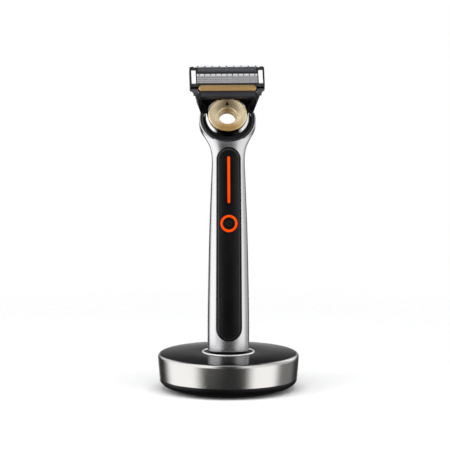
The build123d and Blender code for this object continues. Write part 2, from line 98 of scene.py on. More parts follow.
def facing(back, target, distance):
    """Where a camera or lamp stands so that it looks at the target."""
    aimed = back.to_track_quat("Z", "Y").to_matrix().to_4x4()
    return Matrix.Translation(target + back * distance) @ aimed


def make_camera():
    right = Vector((cos(AZIMUTH), sin(AZIMUTH), 0))
    aim = Vector((0, 0, AIM_HEIGHT)) + right * AIM_SIDE
    data = bpy.data.cameras.new("camera")
    data.sensor_width = SENSOR
    data.lens = SENSOR * DISTANCE / FIELD
    data.clip_end = 20
    camera = bpy.data.objects.new("camera", data)
    camera.matrix_world = facing(bearing_to(AZIMUTH, ELEVATION), aim, DISTANCE)
    scene.collection.objects.link(camera)
    scene.camera = camera


make_camera()

# ---- material helpers -------------------------------------------------------------------

# The middle part of a noise's range, where nearly all of it lies.
NOISE_LOW, NOISE_HIGH = 0.3, 0.7
FINE_GRAIN, BROAD_GRAIN, POLISHED_GRAIN = 900.0, 60.0, 300.0
FINE_DEPTH, POLISHED_DEPTH = 0.000006, 0.0000002
MATERIALS = {}


class Nodes:
    """Adds and wires nodes in one node tree."""

    def __init__(self, tree):
        self.tree = tree

    def node(self, kind, **props):
        made = self.tree.nodes.new(kind)
        for key, value in props.items():
            setattr(made, key, value)
        return made

    def link(self, output, socket):
        self.tree.links.new(output, socket)

    def wire(self, value, socket):
        """Sets a socket from a number, or links an output to it."""
        if isinstance(value, (int, float)):
            socket.default_value = value
        else:
            self.link(value, socket)

    def maths(self, operation, *values):
        made = self.node("ShaderNodeMath", operation=operation)
        for value, socket in zip(values, made.inputs):
            self.wire(value, socket)
        return made.outputs[0]


class Finish(Nodes):
    """One node material on Object coordinates, kept in MATERIALS under its name."""

    def __init__(self, name, color, roughness, metallic=0.0, **sockets):
        self.mat = MATERIALS[name] = bpy.data.materials.new(name)
        self.mat.use_nodes = True
        super().__init__(self.mat.node_tree)
        self.shader = self.tree.nodes["Principled BSDF"]
        self.shader.inputs["Base Color"].default_value = (*color, 1)
        self.shader.inputs["Roughness"].default_value = roughness
        self.shader.inputs["Metallic"].default_value = metallic
        for key, value in sockets.items():
            self.shader.inputs[key.replace("_", " ")].default_value = value
        self.coords = self.node("ShaderNodeTexCoord").outputs["Object"]

    def stretched(self, scale):
        made = self.node("ShaderNodeMapping", vector_type="POINT")
        made.inputs["Scale"].default_value = scale
        self.link(self.coords, made.inputs["Vector"])
        return made.outputs["Vector"]

    def separated(self, matrix):
        """The three coordinates of a place seen from another frame."""
        inverse = matrix.inverted()
        made = self.node("ShaderNodeMapping", vector_type="POINT")
        made.inputs["Location"].default_value = inverse.to_translation()
        made.inputs["Rotation"].default_value = inverse.to_euler("XYZ")
        self.link(self.coords, made.inputs["Vector"])
        split = self.node("ShaderNodeSeparateXYZ")
        self.link(made.outputs["Vector"], split.inputs[0])
        return split.outputs

    def noise(self, vector, scale, detail):
        made = self.node("ShaderNodeTexNoise")
        made.inputs["Scale"].default_value = scale
        made.inputs["Detail"].default_value = detail
        made.inputs["Roughness"].default_value = 0.5
        self.link(vector, made.inputs["Vector"])
        return made.outputs["Fac"]

    def span(self, value, low, high, start, end):
        """Goes from low to high while the value goes from start to end."""
        made = self.node("ShaderNodeMapRange")
        made.inputs["From Min"].default_value = start
        made.inputs["From Max"].default_value = end
        made.inputs["To Min"].default_value = low
        made.inputs["To Max"].default_value = high
        self.link(value, made.inputs["Value"])
        return made.outputs["Result"]

    def noise_span(self, noise, low, high):
        return self.span(noise, low, high, NOISE_LOW, NOISE_HIGH)

    def mix(self, factor, low, high, socket):
        """Blends two colours into a colour socket."""
        made = self.node("ShaderNodeMix", data_type="RGBA")
        made.inputs["A"].default_value = (*low, 1)
        made.inputs["B"].default_value = (*high, 1)
        self.link(factor, made.inputs["Factor"])
        self.link(made.outputs["Result"], self.shader.inputs[socket])

    def tint(self, factor, low, high):
        self.mix(factor, low, high, "Base Color")

    def rough(self, noise, low, high):
        self.link(self.noise_span(noise, low, high), self.shader.inputs["Roughness"])

    def bump(self, height, depth):
        made = self.node("ShaderNodeBump")
        made.inputs["Strength"].default_value = 1.0
        made.inputs["Distance"].default_value = depth
        self.link(height, made.inputs["Height"])
        self.link(made.outputs["Normal"], self.shader.inputs["Normal"])


def shade(color, factor):
    return tuple(min(1.0, c * factor) for c in color)


def moulded(name, color, roughness, grain=FINE_GRAIN, depth=FINE_DEPTH, swing=0.08, **sockets):
    """Plastic or rubber with a fine grain and slightly uneven sheen."""
    f = Finish(name, color, roughness, **sockets)
    broad = f.noise(f.coords, BROAD_GRAIN, 2)
    f.tint(f.noise_span(broad, 0, 1), shade(color, 0.88), shade(color, 1.12))
    f.rough(broad, roughness - swing, roughness + swing)
    f.bump(f.noise(f.coords, grain, 4), depth)


def polished(name, color, roughness, swing=0.03, **sockets):
    """Smooth plastic or lacquer."""
    moulded(name, color, roughness, POLISHED_GRAIN, POLISHED_DEPTH, swing, **sockets)


def metal(name, color, roughness, grain=2500.0, depth=0.000002, swing=0.04, stretch=(1, 1, 1)):
    """Metal with fine scratches, which a stretch draws out into lines."""
    f = Finish(name, color, roughness, 1.0)
    lines = f.noise(f.stretched(stretch), grain, 3)
    f.tint(f.noise_span(lines, 0, 1), shade(color, 0.94), shade(color, 1.04))
    f.rough(lines, roughness - swing, roughness + swing)
    f.bump(lines, depth)


# ---- materials that change with the place -----------------------------------------------

BLACK = (0.008, 0.008, 0.009)
EAR_GREY = (0.042, 0.042, 0.048)
EAR_START, EAR_FULL = 16.1, 16.5
BLADE_TOP, BLADE_PITCH, BLADE_EDGE = 5.1, 1.32, 5.52


def lit_orange():
    """Orange diffuser lit evenly from behind, with a slight cloud in its hue."""
    f = Finish("orange_light", (0.25, 0.015, 0.0), 0.5, Specular_IOR_Level=0.08)
    cloud = f.noise_span(f.noise(f.coords, 120.0, 2), 0, 1)
    f.mix(cloud, (0.95, 0.055, 0.0), (1.0, 0.085, 0.0), "Emission Color")
    f.shader.inputs["Emission Strength"].default_value = 1.0


def eared_black(name, black, clear, full):
    """Black plastic whose two ears turn a satin dark grey between two heights in mm."""
    f = Finish(name, BLACK, 0.36)
    x, v, _ = f.separated(CART)
    ears = f.maths("MULTIPLY",
                   f.span(f.maths("ABSOLUTE", x), 0, 1, EAR_START * MM, EAR_FULL * MM),
                   f.span(v, 0, 1, clear * MM, full * MM))
    f.tint(ears, black, EAR_GREY)
    f.bump(f.noise(f.coords, FINE_GRAIN, 4), FINE_DEPTH)


def blade_steel():
    """Satin steel with painted shade, darker towards the foot of each blade."""
    f = Finish("blade_rows_painted_shade", (0.3, 0.3, 0.31), 0.34, 0.35)
    _, v, _ = f.separated(CART)
    below_edge = f.maths("SUBTRACT", v, BLADE_EDGE * MM)
    rows = f.maths("FRACT", f.maths("MULTIPLY", below_edge, 1 / (BLADE_PITCH * MM)))
    grain = f.noise_span(f.noise(f.coords, FINE_GRAIN, 2), 0.8, 1)
    # Painted shade over the lower part of each blade row.
    painted_row_shade = f.maths("MULTIPLY", f.span(rows, 0, 1, 0.15, 0.5), grain)
    f.tint(painted_row_shade, (0.10, 0.10, 0.105), (0.44, 0.44, 0.45))


def sideways(f, across, up):
    """How far a place lies round the eye, from its foot towards either side: the mask of the painted reflection,
    highlight and shade on the lip and the gold.
    """
    x, v, _ = f.separated(EYE)
    reach = f.maths("SQRT", f.maths("ADD", f.maths("MULTIPLY", x, x), f.maths("MULTIPLY", v, v)))
    toward_side = f.maths("MULTIPLY", f.maths("ABSOLUTE", x), across)
    return f.maths("DIVIDE", f.maths("ADD", toward_side, f.maths("MULTIPLY", v, up)), reach)


def chrome_painted_reflection():
    """Painted reflection: polished metal at both sides of the eye, with painted shade that darkens it to black at
    its foot.
    """
    painted_reflection_silver = (0.70, 0.70, 0.72)
    f = Finish("chrome_painted_reflection", painted_reflection_silver, 0.12, 1.0)
    # Painted reflection at the sides of the lip and painted shade at its foot.
    f.tint(f.span(sideways(f, 1.0, 0.1), 0, 1, 0.42, 0.62), (0.012, 0.012, 0.013), painted_reflection_silver)


def gold_painted_light():
    """Satin gold with painted highlights, paler towards both sides of the eye, and painted shade, deeper at its
    top and foot.
    """
    f = Finish("gold", (0.7, 0.5, 0.25), 0.34, 0.5)
    gold_painted_shade, gold_painted_highlight = (0.47, 0.285, 0.105), (0.96, 0.81, 0.54)
    # Painted highlight towards the sides, painted shade at the top and foot.
    f.tint(f.span(sideways(f, 0.94, 0.34), 0, 1, 0.05, 0.98), gold_painted_shade, gold_painted_highlight)
    f.rough(f.noise(f.coords, BROAD_GRAIN, 2), 0.3, 0.38)
    f.bump(f.noise(f.coords, 1800.0, 3), 0.000002)


# ---- the materials ----------------------------------------------------------------------

moulded("black_rubber", (0.005, 0.005, 0.005), 0.75, Specular_IOR_Level=0.2)
moulded("base_plastic", (0.003, 0.003, 0.003), 0.45, Specular_IOR_Level=0.25)
metal("brushed_band", (0.60, 0.59, 0.575), 0.20, 900.0, 0.000004, 0.05, (0.4, 0.4, 14))
polished("gloss_black", (0.006, 0.006, 0.007), 0.10)
polished("dock_gloss", (0.005, 0.005, 0.006), 0.17)
polished("bright_ring", (0.95, 0.95, 0.96), 0.18, 0.02, Metallic=0.55)
moulded("satin_black", BLACK, 0.38)
metal("satin_metal", (0.66, 0.66, 0.67), 0.27, 4000.0, 0.0000015)
moulded("inlay_black", (0.0035, 0.0035, 0.004), 0.30, Specular_IOR_Level=0.25)
# A lighter grey for the line along the inlay's bevel: a painted highlight.
moulded("inlay_painted_highlight_line", (0.035, 0.035, 0.038), 0.4)
metal("gold_bar", (0.72, 0.47, 0.20), 0.42, 2500.0, 0.000003)
moulded("board_green", (0.02, 0.12, 0.05), 0.4)
metal("copper", (0.6, 0.28, 0.14), 0.3)
moulded("ferrite", (0.03, 0.03, 0.03), 0.6)
metal("steel", (0.55, 0.55, 0.55), 0.3)
moulded("cell_wrap", (0.03, 0.1, 0.35), 0.3)
moulded("lamp", (0.9, 0.85, 0.75), 0.2)
metal("contact_gold", (0.8, 0.55, 0.2), 0.25)
moulded("cartridge_black", BLACK, 0.32)
moulded("blade_steel", (0.30, 0.30, 0.31), 0.34, Metallic=0.35)
moulded("edge_steel", (0.72, 0.72, 0.74), 0.34, Metallic=0.2)
moulded("clip_metal", (0.90, 0.90, 0.91), 0.30, Metallic=0.3)
moulded("strip_grey", (0.055, 0.055, 0.065), 0.5)
moulded("rail_grey", (0.62, 0.63, 0.65), 0.35)
moulded("heater_grey", (0.7, 0.7, 0.68), 0.5)
moulded("guard_grey", (0.014, 0.014, 0.017), 0.5)
lit_orange()
gold_painted_light()
chrome_painted_reflection()
eared_black("bridge_black", (0.005, 0.005, 0.005), -11.0, -10.2)
eared_black("frame_black", BLACK, -3.3, -3.7)
blade_steel()


def dress(obj, look):
    obj.data.materials.clear()
    obj.data.materials.append(MATERIALS[look])


SLOT_OF = {row["node"]: row["material_slot"] for row in frame["record"]["subparts"]}
for node, obj in frame["nodes"].items():
    dress(obj, SLOT_OF[node])

# ---- shape helpers ----------------------------------------------------------------------

TINY = 1e-7
FINE_STEPS = 256


def arc(start, through, end, steps=12):
    """Points along the circle through three points, both ends included."""
    (ax, ay), (bx, by), (cx, cy) = start, through, end
    d = 2 * (ax * (by - cy) + bx * (cy - ay) + cx * (ay - by))
    a2, b2, c2 = ax**2 + ay**2, bx**2 + by**2, cx**2 + cy**2
    ux = (a2 * (by - cy) + b2 * (cy - ay) + c2 * (ay - by)) / d
    uy = (a2 * (cx - bx) + b2 * (ax - cx) + c2 * (bx - ax)) / d
    r = sqrt((ax - ux) ** 2 + (ay - uy) ** 2)
    first, middle, last = (atan2(y - uy, x - ux) for x, y in (start, through, end))
    span = (last - first) % (2 * pi)
    if (middle - first) % (2 * pi) > span:
        span -= 2 * pi
    angles = [first + span * k / steps for k in range(steps + 1)]
    return [(ux + r * cos(a), uy + r * sin(a)) for a in angles]


def placed(bm, place=None):
    if place is not None:
        bmesh.ops.transform(bm, matrix=place, verts=bm.verts)
    bmesh.ops.recalc_face_normals(bm, faces=bm.faces)
    return bm


def turned(outline, place=None, steps=192, mirrored=False):
    """Spins a closed outline, given as radius and height in mm, about Z."""
    bm = bmesh.new()
    verts = [bm.verts.new((r * MM, 0, h * MM)) for r, h in outline]
    edges = [bm.edges.new(pair) for pair in zip(verts, verts[1:] + verts[:1])]
    bmesh.ops.spin(bm, geom=verts + edges, cent=(0, 0, 0), axis=(0, 0, 1), angle=2 * pi,
                   steps=steps, use_merge=True)
    bmesh.ops.remove_doubles(bm, verts=bm.verts, dist=TINY)
    if mirrored:
        bmesh.ops.scale(bm, vec=(1, 1, -1), verts=bm.verts)
    return placed(bm, place)


def brick(x0, x1, y0, y1, z0, z1, place=None, edge=0.0):
    """A box between two corners in mm, its edges softened."""
    bm = bmesh.new()
    bmesh.ops.create_cube(bm, size=1)
    bmesh.ops.scale(bm, vec=((x1 - x0) * MM, (y1 - y0) * MM, (z1 - z0) * MM), verts=bm.verts)
    middle = Vector(((x0 + x1), (y0 + y1), (z0 + z1))) * MM / 2
    bmesh.ops.translate(bm, vec=middle, verts=bm.verts)
    if edge:
        bmesh.ops.bevel(bm, geom=bm.edges[:], offset=edge * MM, affect="EDGES", segments=2,
                        profile=0.5, material=-1)
    return placed(bm, place)


def pillar(radius, low, high, place=None, steps=192):
    """A cylinder along Z in mm."""
    bm = bmesh.new()
    bmesh.ops.create_cone(bm, cap_ends=True, segments=steps, radius1=radius * MM,
                          radius2=radius * MM, depth=(high - low) * MM)
    bmesh.ops.translate(bm, vec=(0, 0, (low + high) / 2 * MM), verts=bm.verts)
    return placed(bm, place)


def joined(*parts):
    """Several shapes in one mesh, each kept whole."""
    whole = parts[0]
    for part in parts[1:]:
        mesh = bpy.data.meshes.new("part")
        part.to_mesh(mesh)
        part.free()
        whole.from_mesh(mesh)
        bpy.data.meshes.remove(mesh)
    return whole


def loose_object(bm):
    mesh = bpy.data.meshes.new("rough")
    bm.to_mesh(mesh)
    bm.free()
    obj = bpy.data.objects.new("rough", mesh)
    scene.collection.objects.link(obj)
    return obj


def cut(bm, *tools, operation="DIFFERENCE"):
    """The first shape with the others taken away, or joined on."""
    body = loose_object(bm)
    cutters = [loose_object(tool) for tool in tools]
    for tool in cutters:
        step = body.modifiers.new("cut", "BOOLEAN")
        step.object = tool
        step.operation = operation
        step.solver = "EXACT"
    evaluated = body.evaluated_get(bpy.context.evaluated_depsgraph_get())
    mesh = bpy.data.meshes.new_from_object(evaluated)
    out = bmesh.new()
    out.from_mesh(mesh)
    bpy.data.meshes.remove(mesh)
    for obj in [body] + cutters:
        rough = obj.data
        bpy.data.objects.remove(obj)
        bpy.data.meshes.remove(rough)
    return out


def piece(name, bm, body, slot, *nodes, angle=30, bevel=0.0, segments=3, look=None):
    """Makes the finished object, and has it stand for the CAD nodes named."""
    mesh = bpy.data.meshes.new(name)
    bm.to_mesh(mesh)
    bm.free()
    mesh.shade_smooth()
    mesh.set_sharp_from_angle(angle=radians(angle))
    obj = bpy.data.objects.new(name, mesh)
    scene.collection.objects.link(obj)
    if bevel:
        soft = obj.modifiers.new("soft_edges", "BEVEL")
        soft.width = bevel * MM
        soft.segments = segments
        soft.limit_method = "ANGLE"
        soft.angle_limit = radians(angle)
        soft.use_clamp_overlap = False
    dress(obj, look or slot)
    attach(obj, body)
    if nodes:
        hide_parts(*nodes)
    return obj


def softened(node, body, width, segments=3, look=None, cutters=()):
    """A CAD node's own form with rounded edges. Concave faces are split before the rounding."""
    bm = bmesh.new()
    bm.from_mesh(frame["nodes"][node].data)
    bmesh.ops.remove_doubles(bm, verts=bm.verts, dist=2e-6)
    bmesh.ops.recalc_face_normals(bm, faces=bm.faces)
    bmesh.ops.dissolve_limit(bm, angle_limit=radians(0.5), verts=bm.verts, edges=bm.edges)
    if cutters:
        bm = cut(bm, *cutters)
    bmesh.ops.triangulate(bm, faces=[f for f in bm.faces if len(f.verts) > 4])
    return piece(node + "_soft", bm, body, SLOT_OF[node], node, angle=35, bevel=width,
                 segments=segments, look=look)


# ---- dock -------------------------------------------------------------------------------

BAND_LOW, BAND_TOP = 6.2, 20.5
BAND_INNER, BAND_LIP = 37.2, 38.36
BOWL_FLAT, BOWL_OUT, BOWL_TOP, BOWL_RISE, BOWL_FLOOR = 30.2, 8.85, 6.15, 5.15, 2.6
COVER_R, COVER_UNDER, SEAT_R, CUP_LEDGE = 38.3, 18.8, 15.0, 20.38
INLET_Z, INLET_R, INLET_HALF = 14.9, 1.88, 2.84
SCREW_OFFSET = 27 * sqrt(0.5)
SCREWS = [(x * SCREW_OFFSET, y * SCREW_OFFSET) for x in (-1, 1) for y in (-1, 1)]


def screw_bosses(radius, low, high):
    return [pillar(radius, low, high, moved(x, y, 0), 48) for x, y in SCREWS]


def inlet_slot():
    """Oval opening for the power inlet, through the band's back."""
    slot = pillar(INLET_R, 30, 45, moved(0, 0, INLET_Z) @ rotated(-90, "X"), 48)
    for v in slot.verts:
        v.co.x += INLET_HALF * MM * (1 if v.co.x > 0 else -1)
    return slot


def make_dock():
    band = turned(
        [(BAND_INNER, BAND_LOW), (38.97, BAND_LOW)]
        + arc((39.05, BAND_LOW + 0.08), (39.62, 12.5), (40.1, 18.6), 24)
        + arc((40.1, 18.7), (39.72, 19.72), (38.75, 20.42), 10)
        + [(38.45, BAND_TOP), (BAND_LIP, 20.4), (BAND_LIP, 18.7), (BAND_INNER, 18.7)],
        steps=FINE_STEPS)
    piece("steel_band", cut(band, inlet_slot()), "dock", "brushed_band", "dock_band", angle=40)

    bowl_angles = [radians(a) for a in range(6, 91, 7)]
    base = turned(
        [(0, 1.0), (BOWL_FLAT, 1.0)]
        + [(BOWL_FLAT + BOWL_OUT * sin(a), BOWL_TOP - BOWL_RISE * cos(a)) for a in bowl_angles]
        + [(39.05, BOWL_TOP), (BAND_INNER, BOWL_TOP), (34.2, BOWL_FLOOR), (0, BOWL_FLOOR)],
        steps=FINE_STEPS)
    base = joined(base, *screw_bosses(4.0, BOWL_FLOOR, 4.2))
    piece("base_bowl", base, "dock", "base_plastic", "dock_base", angle=40)

    cover = turned(
        arc((SEAT_R + 0.12, 21.42), (28.0, 21.2), (38.05, 20.55), 40)
        + [(38.22, 20.52), (COVER_R, 20.35), (COVER_R, COVER_UNDER),
           (SEAT_R + 0.12, COVER_UNDER)], steps=FINE_STEPS)
    cover = joined(cover, *screw_bosses(2.8, 4.25, COVER_UNDER))
    piece("gloss_top", cover, "dock", "gloss_black", "dock_top_cover", angle=40,
          look="dock_gloss")

    ring = turned([(14.15, 20.4), (15.1, 20.4)]
                  + arc((15.1, 21.38), (14.45, 21.85), (13.65, 21.25)) + [(14.15, 21.1)])
    piece("polished_seat_ring", ring, "dock", "bright_ring", "seat_ring", angle=50)

    cup = turned([(0, 18.3)] + arc((9.6, 18.3), (10.9, 18.55), (11.6, 19.1), 8)
                 + [(14.1, 21.1), (14.1, CUP_LEDGE), (SEAT_R, CUP_LEDGE), (SEAT_R, 17.0),
                    (0, 17.0)])
    piece("seat_hollow", cup, "dock", "base_plastic", "seat_cup", angle=40)


# ---- handle -----------------------------------------------------------------------------

HANDLE_Z0, LEAN, BEND_R = 21.5, radians(0.55), 22.0
TILT = asin(RING_N.z)
SQUARENESS = 2.6
# Distance along the centre line from the foot, half width and half depth, in mm.
SIZES = [
    (0.0, 11.80, 10.2), (18.0, 11.80, 10.2), (38.0, 11.50, 9.85), (56.0, 11.15, 9.35),
    (74.5, 10.65, 8.55), (92.0, 9.98, 7.35), (102.0, 9.55, 6.35), (109.9, 9.32, 5.45),
    (117.5, 10.55, 4.35), (125.0, 14.05, 3.15), (130.3, 15.50, 2.60),
]
RING_R, RING_BORE, RING_HALF, RING_OPEN_V = 16.05, 15.25, 2.7, 4.2
FOOT_START, FOOT_RISE, FOOT_INSET, FOOT_END = -1.1, 2.7, 4.2, 1.6
HOLLOW_START, HOLLOW_END, WALL = 4.6, 105.0, 1.4


def smooth_rows(column):
    """Natural cubic spline through one column of SIZES."""
    x = np.array([row[0] for row in SIZES])
    y = np.array([row[column] for row in SIZES])
    h = np.diff(x)
    n = len(x)
    a = np.eye(n)
    b = np.zeros(n)
    for i in range(1, n - 1):
        a[i, i - 1:i + 2] = h[i - 1], 2 * (h[i - 1] + h[i]), h[i]
        b[i] = 6 * ((y[i + 1] - y[i]) / h[i] - (y[i] - y[i - 1]) / h[i - 1])
    m = np.linalg.solve(a, b)

    def value(s):
        i = int(min(max(np.searchsorted(x, s) - 1, 0), n - 2))
        t = s - x[i]
        slope = (y[i + 1] - y[i]) / h[i] - h[i] * (2 * m[i] + m[i + 1]) / 6
        return float(y[i] + slope * t + m[i] * t * t / 2 + (m[i + 1] - m[i]) * t**3 / (6 * h[i]))

    return value


half_width, half_depth = smooth_rows(1), smooth_rows(2)


def centre_line(s):
    """Point and lean of the handle's centre line, s mm along it from the foot."""
    ring_y, ring_z = RING_C.y / MM, RING_C.z / MM
    turn = TILT - LEAN
    tangent = BEND_R * tan(turn / 2)
    corner_z = (ring_z * tan(TILT) - ring_y - HANDLE_Z0 * tan(LEAN)) / (tan(TILT) - tan(LEAN))
    corner_y = (corner_z - HANDLE_Z0) * tan(LEAN)
    straight = (corner_z - HANDLE_Z0) / cos(LEAN) - tangent
    bend = BEND_R * turn
    if s <= straight:
        return s * sin(LEAN), HANDLE_Z0 + s * cos(LEAN), LEAN
    if s >= straight + bend:
        past = s - straight - bend + tangent
        return corner_y + past * sin(TILT), corner_z + past * cos(TILT), TILT
    lean = LEAN + (s - straight) / BEND_R
    return (straight * sin(LEAN) + BEND_R * (cos(LEAN) - cos(lean)),
            HANDLE_Z0 + straight * cos(LEAN) + BEND_R * (sin(lean) - sin(LEAN)), lean)


def front_y(x, z):
    """Where the front of the handle lies at a place seen from the front, all in mm."""
    low, high = 0.0, SIZES[-1][0]
    for _ in range(30):
        s = (low + high) / 2
        y, h, lean = centre_line(s)
        off_centre = min(1.0, abs(x) / half_width(s))
        reach = half_depth(s) * max(0.0, 1 - off_centre ** SQUARENESS) ** (1 / SQUARENESS)
        low, high = (s, high) if h + reach * sin(lean) < z else (low, s)
    return y - reach * cos(lean)


def grown(bm, edges):
    """Extrudes a loop of edges. Gives the new edges and the new points."""
    made = bmesh.ops.extrude_edge_only(bm, edges=edges)["geom"]
    return ([g for g in made if isinstance(g, bmesh.types.BMEdge)],
            [g for g in made if isinstance(g, bmesh.types.BMVert)])


def swept(rows, sides=160):
    """A form through rounded sections: rows of distance along the handle and inset, in mm."""
    bm = bmesh.new()
    ring = bmesh.ops.create_circle(bm, segments=sides, radius=1)["verts"]
    angles = [atan2(v.co.y, v.co.x) for v in ring]
    edges = bm.edges[:]
    bmesh.ops.contextual_create(bm, geom=edges)
    power = 2 / SQUARENESS
    for k, (s, inset) in enumerate(rows):
        if k:
            edges, ring = grown(bm, edges)
        y, z, lean = centre_line(s)
        w, d = half_width(s) - inset, half_depth(s) - inset
        for v, a in zip(ring, angles):
            c, q = cos(a), sin(a)
            across = w * abs(c) ** power * (1 if c >= 0 else -1)
            out = d * abs(q) ** power * (1 if q >= 0 else -1)
            v.co = Vector((across, y + out * cos(lean), z - out * sin(lean))) * MM
    bmesh.ops.contextual_create(bm, geom=edges)
    return placed(bm)


ARC_STEPS, SIDE_STEPS, ROUND_STEPS = 32, 100, 128


def stadium(low_z, low_r, top_z, top_r):
    """Round-ended outline as places x and z in mm, anticlockwise from the lower left."""
    ends = [(low_z, low_r, pi), (top_z, top_r, 0.0)]
    places = []
    for k, (z, r, start) in enumerate(ends):
        angles = [start + pi * i / ARC_STEPS for i in range(ARC_STEPS + 1)]
        places += [(r * cos(a), z + r * sin(a)) for a in angles]
        other_z, other_r, _ = ends[1 - k]
        side = 1 if k == 0 else -1
        places += [(side * (r + (other_r - r) * i / SIDE_STEPS),
                    z + (other_z - z) * i / SIDE_STEPS) for i in range(1, SIDE_STEPS)]
    return places


def on_front(outline, rows, closed=False):
    """A solid that follows the handle's front: rows of inset from the outline and depth."""
    bm = bmesh.new()
    ring = bmesh.ops.create_circle(bm, segments=len(outline(0)), radius=1)["verts"]
    edges = first = bm.edges[:]
    for k, (inset, depth) in enumerate(rows):
        if k:
            edges, ring = grown(bm, edges)
        for v, (x, z) in zip(ring, outline(inset)):
            v.co = Vector((x, front_y(x, z) + depth, z)) * MM
    if closed:
        bmesh.ops.bridge_loops(bm, edges=first + edges)
    bmesh.ops.remove_doubles(bm, verts=bm.verts, dist=TINY)
    return placed(bm)


INLAY_LOW, INLAY_TOP = (36.2, 7.0), (132.3, 6.5)
INLAY_R = INLAY_TOP[1]
BAR_LOW, BAR_TOP, BAR_R = 108.5, 133.35, 0.72
BUTTON_Z, BUTTON_R, BUTTON_BACK = 96.2, 3.45, -2.05
GLOW_R, GLOW_IN = 4.82, 3.62
GLOW_WIDE = GLOW_R - GLOW_IN
# Gaps in the inlay are a little wider than what fills them, and pass right through it.
GAP, GAP_FRONT, GAP_BACK = 0.06, -3.0, 3.5


def inlay_outline(inset):
    shrink = max(0.0, 1 - inset / INLAY_R)
    return stadium(INLAY_LOW[0], INLAY_LOW[1] * shrink, INLAY_TOP[0], INLAY_R * shrink)


def bar_outline(inset):
    return stadium(BAR_LOW, max(0.0, BAR_R - inset), BAR_TOP, max(0.0, BAR_R - inset))


def round_outline(inset):
    r = GLOW_R - inset
    angles = [2 * pi * k / ROUND_STEPS for k in range(ROUND_STEPS)]
    return [(r * cos(a), BUTTON_Z + r * sin(a)) for a in angles]


def inlay_gap(outline, radius):
    return on_front(outline, [(radius, GAP_FRONT), (-GAP, GAP_FRONT), (-GAP, GAP_BACK),
                              (radius, GAP_BACK)])


def handle_shell():
    foot = [(FOOT_START + FOOT_RISE * (1 - cos(radians(a))), FOOT_INSET * (1 - sin(radians(a))))
            for a in range(0, 90, 6)]
    length, steps = SIZES[-1][0] - FOOT_END, 119
    body = swept(foot + [(FOOT_END + k * length / steps, 0) for k in range(steps + 1)])
    face, shoulder = RING_HALF, RING_HALF - 0.45
    ring = turned(
        [(14.9, -face + 0.15), (15.05, -face)]
        + arc((15.6, -face), (15.92, -face + 0.13), (RING_R, -shoulder), 5)
        + arc((RING_R, shoulder), (15.92, face - 0.13), (15.6, face), 5)
        + [(15.05, face), (14.9, face - 0.15)], HEAD, FINE_STEPS)
    length, steps = HOLLOW_END - HOLLOW_START, 40
    hollow = swept([(HOLLOW_START + k * length / steps, WALL) for k in range(steps + 1)], 64)
    bore = pillar(RING_BORE, -14, 14, HEAD, FINE_STEPS)
    opening = brick(-30, 30, RING_OPEN_V, 40, -14, 14, HEAD)
    plug_hole = brick(-7, 7, -5.8, 5.8, HANDLE_Z0 - 3, HANDLE_Z0 + 6, edge=1.2)
    flange_seat = brick(-8.2, 8.2, -7.0, 7.0, HANDLE_Z0 - 3, HANDLE_Z0 - 0.05)
    pocket = on_front(inlay_outline, [
        (INLAY_R, -4.0), (4.0, -4.0), (1.0, -4.0), (-0.75, -0.4), (-0.35, 0.12), (-0.3, 1.55),
        (2.0, 1.55), (INLAY_R, 1.55)])
    body = cut(body, ring, operation="UNION")
    return cut(body, bore, opening, hollow, plug_hole, flange_seat, pocket)


def make_inlay():
    skin = on_front(inlay_outline, [
        (INLAY_R, 0.0), (5.6, 0.0), (4.2, 0.0), (2.8, 0.0), (1.6, 0.0), (1.0, 0.0),
        (0.78, 0.0), (0.70, 0.02), (0.62, 0.08), (0.30, 0.42), (0.24, 0.46), (0.16, 0.46),
        (0.06, 0.5), (0.0, 0.62), (0.0, 1.5), (3.0, 1.5), (INLAY_R, 1.5)])
    # A thin lighter grey line on the inlay's bevel: a painted highlight where the bevel would catch the light.
    line = on_front(inlay_outline, [(0.95, 0.06), (0.92, -0.015), (0.70, -0.015), (0.67, 0.06)],
                    closed=True)
    piece("inlay_painted_highlight_line", line, "handle", "inlay_black", angle=60, look="inlay_painted_highlight_line")
    skin = cut(skin, inlay_gap(bar_outline, BAR_R), inlay_gap(round_outline, GLOW_R))
    piece("black_inlay", skin, "handle", "inlay_black", "front_inlay", angle=32)

    bar = on_front(bar_outline, [
        (BAR_R, -0.1), (0.5, -0.08), (0.3, -0.02), (0.12, 0.06), (0.02, 0.2), (0.0, 0.4),
        (0.0, 1.9), (BAR_R, 1.9)])
    piece("glowing_bar", bar, "handle", "orange_light", "light_bar", angle=60)

    glow = on_front(round_outline, [
        (0.0, 2.2), (0.0, 0.22), (0.05, 0.06), (0.18, -0.02), (GLOW_WIDE / 2, -0.07),
        (GLOW_WIDE - 0.18, -0.02), (GLOW_WIDE - 0.05, 0.06), (GLOW_WIDE, 0.22), (GLOW_WIDE, 2.2)],
        closed=True)
    piece("glowing_ring", glow, "handle", "orange_light", "button_light_ring", angle=60)


def make_button():
    normal = -Vector(JOINTS["power_button_press"]["axis"])
    place = basis(Vector((0, front_y(0, BUTTON_Z), BUTTON_Z)) * MM, normal.normalized())
    cap = turned([(0, -0.06), (1.2, -0.05), (2.2, 0.0), (3.05, 0.05), (3.3, 0.03),
                  (3.42, -0.06), (BUTTON_R, -0.2), (BUTTON_R, BUTTON_BACK), (0, BUTTON_BACK)],
                 place, 128)
    piece("button_cap", cap, "power_button", "inlay_black", "power_button", angle=40)
    low, top = -0.2, 0.02
    mark = turned([(1.12, low), (1.38, low), (1.38, top), (1.12, top)], None, 96)
    mark = cut(mark, brick(-0.42, 0.42, 0, 3, -1, 1))
    mark = joined(mark, brick(-0.13, 0.13, 0.45, 1.7, low, top))
    bmesh.ops.transform(mark, matrix=place, verts=mark.verts)
    piece("button_mark", mark, "power_button", "guard_grey", angle=40)


